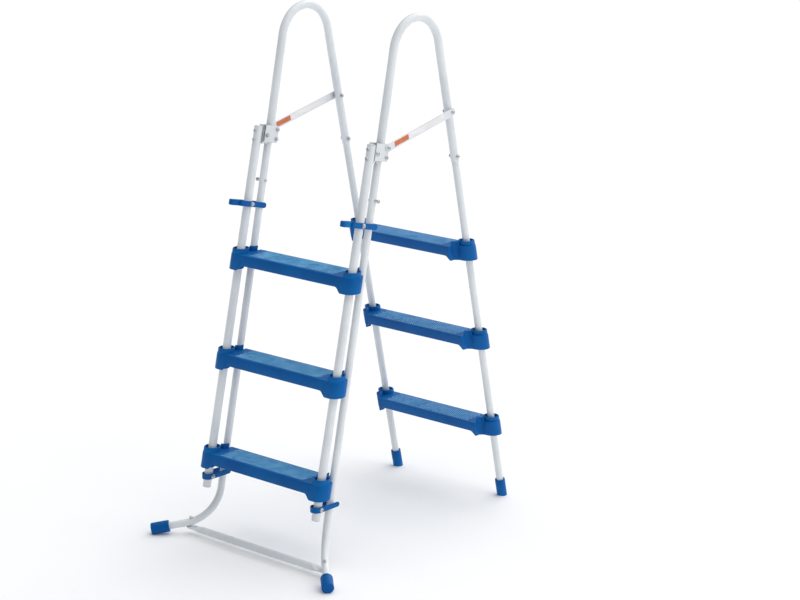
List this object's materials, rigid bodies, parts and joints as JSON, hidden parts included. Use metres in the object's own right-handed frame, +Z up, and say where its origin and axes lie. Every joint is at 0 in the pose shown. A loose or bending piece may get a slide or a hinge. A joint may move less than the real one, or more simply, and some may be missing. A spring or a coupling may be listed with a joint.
{
  "type": "pool ladder",
  "caption": "A-frame ladder that straddles an above-ground pool wall, with tubular handrails, moulded steps inside and a lift-off step section with swing latches outside.",
  "frame": {"origin": "on the ground, at the centre of the ladder's footprint", "axes": "+Z up, +Y over the pool wall into the water, +X to the right for a person who faces the pool from outside"},
  "size_m": [0.7568, 1.0066, 1.5828],
  "materials": {
    "white_paint": "satin",
    "blue_plastic": "satin",
    "grey_plastic": "matte",
    "zinc": "satin",
    "orange_label": "satin"
  },
  "bodies": {
    "fixed_frame": {"handrail_left": "white_paint", "handrail_right": "white_paint", "outer_leg_left": "white_paint", "outer_leg_right": "white_paint", "inner_leg_left": "white_paint", "inner_leg_right": "white_paint", "base_bar": "white_paint", "outer_foot_cap_left": "blue_plastic", "outer_foot_cap_right": "blue_plastic", "inner_foot_cap_left": "blue_plastic", "inner_foot_cap_right": "blue_plastic", "hook_bracket_left": "white_paint", "hook_bracket_right": "white_paint", "spreader_bar_left": "white_paint", "spreader_bar_right": "white_paint", "spreader_label_left": "orange_label", "spreader_label_right": "orange_label", "spreader_spacers": "zinc", "inner_step_upper": "blue_plastic", "inner_step_middle": "blue_plastic", "inner_step_lower": "blue_plastic", "bracket_bolts": "zinc", "spreader_bolts": "zinc", "base_bar_bolts": "zinc", "leg_joint_bolts": "zinc", "leg_stop_bolts": "zinc", "inner_step_screws": "zinc"},
    "step_section": {"step_tube_left": "white_paint", "step_tube_right": "white_paint", "tube_top_plug_left": "grey_plastic", "tube_top_plug_right": "grey_plastic", "tube_bottom_plug_left": "grey_plastic", "tube_bottom_plug_right": "grey_plastic", "outer_step_upper": "blue_plastic", "outer_step_middle": "blue_plastic", "outer_step_lower": "blue_plastic", "hook_left": "zinc", "hook_right": "zinc", "hook_bolts": "zinc", "outer_step_screws": "zinc", "latch_pivot_bolts": "zinc"},
    "upper_latch_left": {"upper_latch_left": "blue_plastic"},
    "upper_latch_right": {"upper_latch_right": "blue_plastic"},
    "lower_latch_left": {"lower_latch_left": "blue_plastic"},
    "lower_latch_right": {"lower_latch_right": "blue_plastic"}
  },
  "joints": [
    {"name": "step_section_lift", "type": "slide", "parent": "fixed_frame", "child": "step_section", "axis": [0, 0.2267, 0.974], "range_m": [0, 0.04]},
    {"name": "upper_latch_left_swing", "type": "hinge", "parent": "step_section", "child": "upper_latch_left", "pos_m": [-0.225, -0.19244, 1], "axis": [1, 0, 0], "range_deg": [-60, 0]},
    {"name": "upper_latch_right_swing", "type": "hinge", "parent": "step_section", "child": "upper_latch_right", "pos_m": [0.225, -0.19244, 1], "axis": [1, 0, 0], "range_deg": [-60, 0]},
    {"name": "lower_latch_left_swing", "type": "hinge", "parent": "step_section", "child": "lower_latch_left", "pos_m": [-0.225, -0.38047, 0.192], "axis": [1, 0, 0], "range_deg": [-30, 0]},
    {"name": "lower_latch_right_swing", "type": "hinge", "parent": "step_section", "child": "lower_latch_right", "pos_m": [0.225, -0.38047, 0.192], "axis": [1, 0, 0], "range_deg": [-30, 0]}
  ]
}
